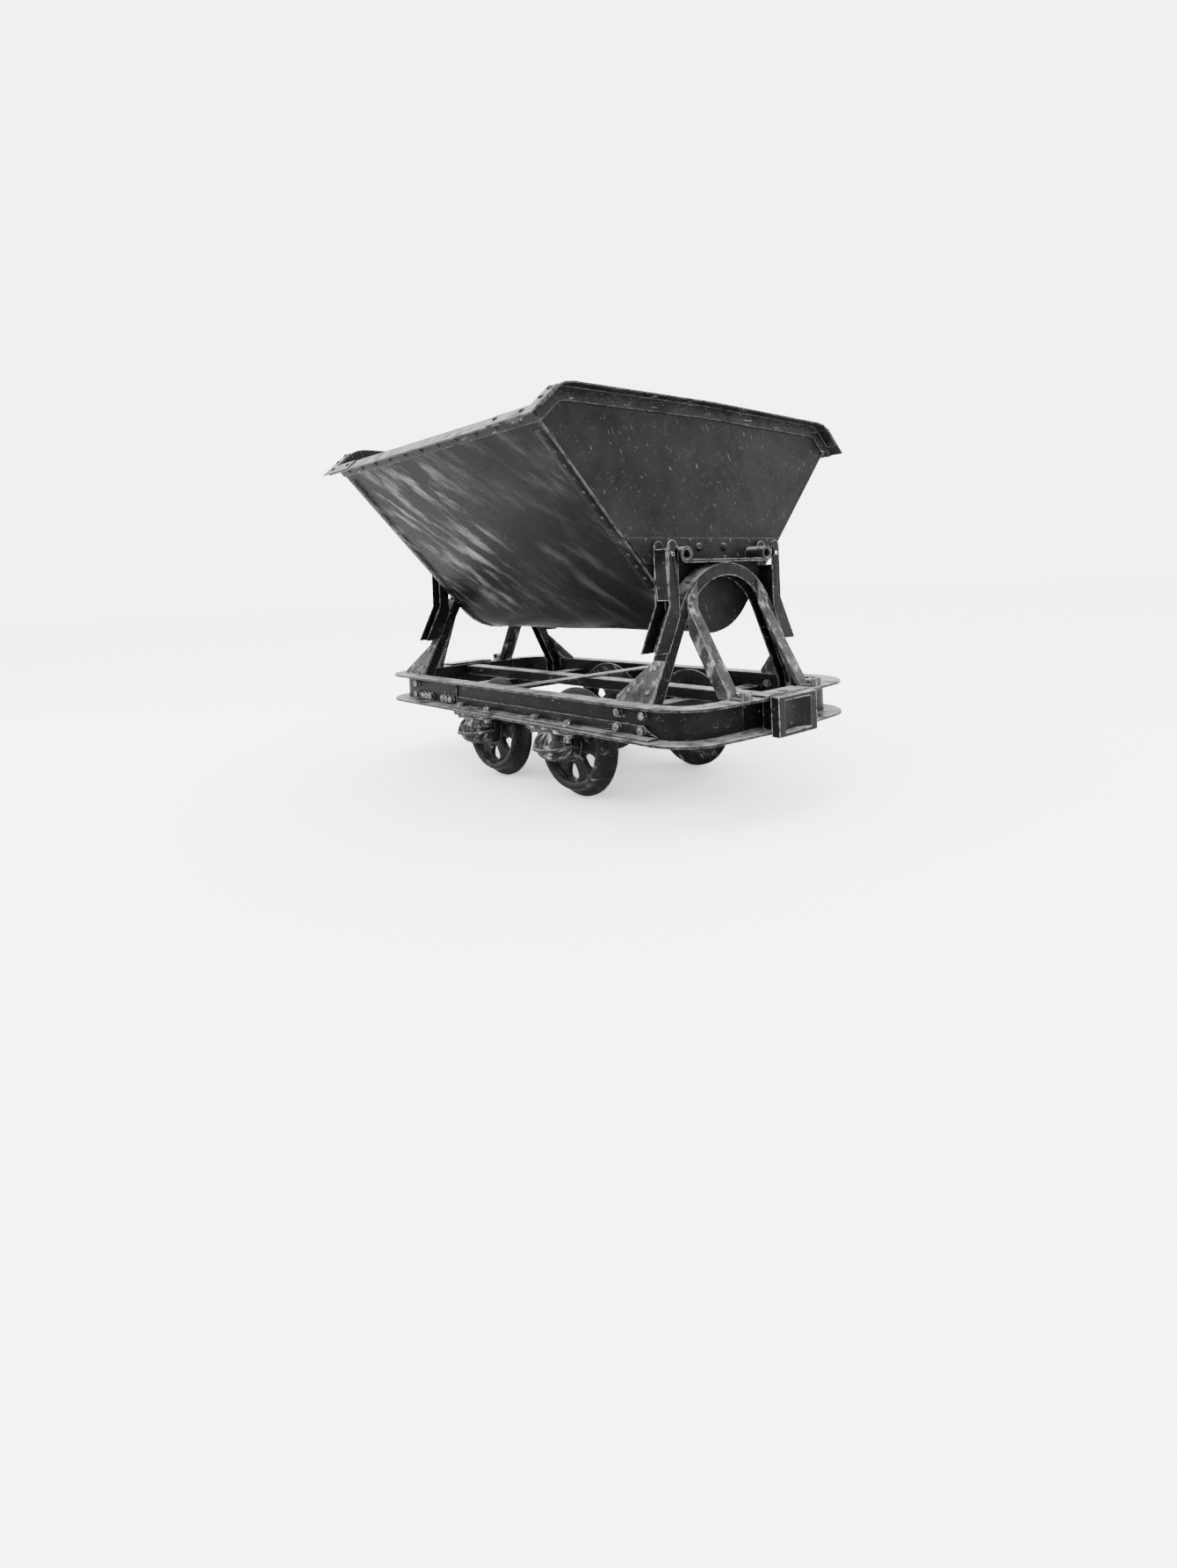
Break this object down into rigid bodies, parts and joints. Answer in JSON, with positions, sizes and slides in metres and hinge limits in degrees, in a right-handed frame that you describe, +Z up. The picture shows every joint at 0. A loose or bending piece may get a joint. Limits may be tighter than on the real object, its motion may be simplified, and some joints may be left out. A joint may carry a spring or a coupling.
{
  "type": "tipping mine cart",
  "caption": "Narrow gauge mine cart: V-shaped steel tub that rocks sideways on arched trestles over a channel frame, with flanged wheels in outside axle boxes.",
  "frame": {"origin": "middle of the cart at the bottom of the wheel flanges", "axes": "+X along the track towards the end called front, +Y towards the side called right, +Z up"},
  "size_m": [1.79, 1.434, 1.23],
  "materials": {
    "tub_steel": "dark weathered sheet steel, rubbed light at its edges",
    "frame_steel": "dark weathered rolled steel, flanges worn light",
    "bare_steel": "worn dull steel",
    "cast_iron_parts": "rough dark casting"
  },
  "bodies": {
    "frame": {"axle_box_bolts": "bare_steel", "axle_box_front_left": "cast_iron_parts", "axle_box_front_right": "cast_iron_parts", "axle_box_rear_left": "cast_iron_parts", "axle_box_rear_right": "cast_iron_parts", "axle_cups_front": "cast_iron_parts", "axle_cups_rear": "cast_iron_parts", "buffer_front": "cast_iron_parts", "buffer_rear": "cast_iron_parts", "centre_tie": "frame_steel", "cross_bearer_front": "frame_steel", "cross_bearer_rear": "frame_steel", "draw_bar": "frame_steel", "head_channel_front": "frame_steel", "head_channel_rear": "frame_steel", "head_plate_front": "frame_steel", "head_plate_rear": "frame_steel", "leg_gussets": "frame_steel", "post_front_left": "frame_steel", "post_front_right": "frame_steel", "post_rear_left": "frame_steel", "post_rear_right": "frame_steel", "sole_angle_left": "frame_steel", "sole_angle_right": "frame_steel", "sole_channel_left": "frame_steel", "sole_channel_right": "frame_steel", "strut_bolts": "bare_steel", "strut_front_left": "bare_steel", "strut_front_right": "bare_steel", "strut_rear_left": "bare_steel", "strut_rear_right": "bare_steel", "trestle_front": "frame_steel", "trestle_rear": "frame_steel", "trestle_rivets": "bare_steel", "web_bolts": "bare_steel", "web_plate_left": "frame_steel", "web_plate_right": "frame_steel"},
    "wheelset_front": {"axle_front": "bare_steel", "wheel_front_left": "cast_iron_parts", "wheel_front_right": "cast_iron_parts"},
    "wheelset_rear": {"axle_rear": "bare_steel", "wheel_rear_left": "cast_iron_parts", "wheel_rear_right": "cast_iron_parts"},
    "rocker_contact": {"rocker_shims": "bare_steel"},
    "tub": {"tub_sheet": "tub_steel", "end_plate_front": "tub_steel", "end_plate_rear": "tub_steel", "side_rim_left": "tub_steel", "side_rim_right": "tub_steel", "end_rim_front": "tub_steel", "end_rim_rear": "tub_steel", "corner_straps": "tub_steel", "wall_plate_front": "tub_steel", "wall_plate_rear": "tub_steel", "rocker_bar_front": "bare_steel", "rocker_bar_rear": "bare_steel", "tub_rivets": "bare_steel", "rim_rivets": "bare_steel"},
    "latch_front": {"latch_front": "bare_steel"},
    "latch_rear": {"latch_rear": "bare_steel"}
  },
  "joints": [
    {"name": "wheelset_front_spin", "type": "hinge", "parent": "frame", "child": "wheelset_front", "pos_m": [0.245, 0, 0.176], "axis": [0, 1, 0], "continuous": true},
    {"name": "wheelset_rear_spin", "type": "hinge", "parent": "frame", "child": "wheelset_rear", "pos_m": [-0.195, 0, 0.176], "axis": [0, 1, 0], "continuous": true},
    {"name": "tub_tilt", "type": "hinge", "parent": "frame", "child": "rocker_contact", "pos_m": [0, 0, 0.4915], "axis": [1, 0, 0], "range_deg": [-44, 44]},
    {"name": "tub_roll", "type": "slide", "parent": "rocker_contact", "child": "tub", "axis": [0, 1, 0], "range_m": [-0.189, 0.189]},
    {"name": "latch_front_swing", "type": "hinge", "parent": "frame", "child": "latch_front", "pos_m": [0.632, -0.25105, 0.762], "axis": [-1, 0, 0], "range_deg": [0, 55]},
    {"name": "latch_rear_swing", "type": "hinge", "parent": "frame", "child": "latch_rear", "pos_m": [-0.632, 0.25105, 0.762], "axis": [1, 0, 0], "range_deg": [0, 55]}
  ],
  "couplings": [
    {"joint": "tub_roll", "follows": "tub_tilt", "m_per_rad": 0.2445}
  ]
}
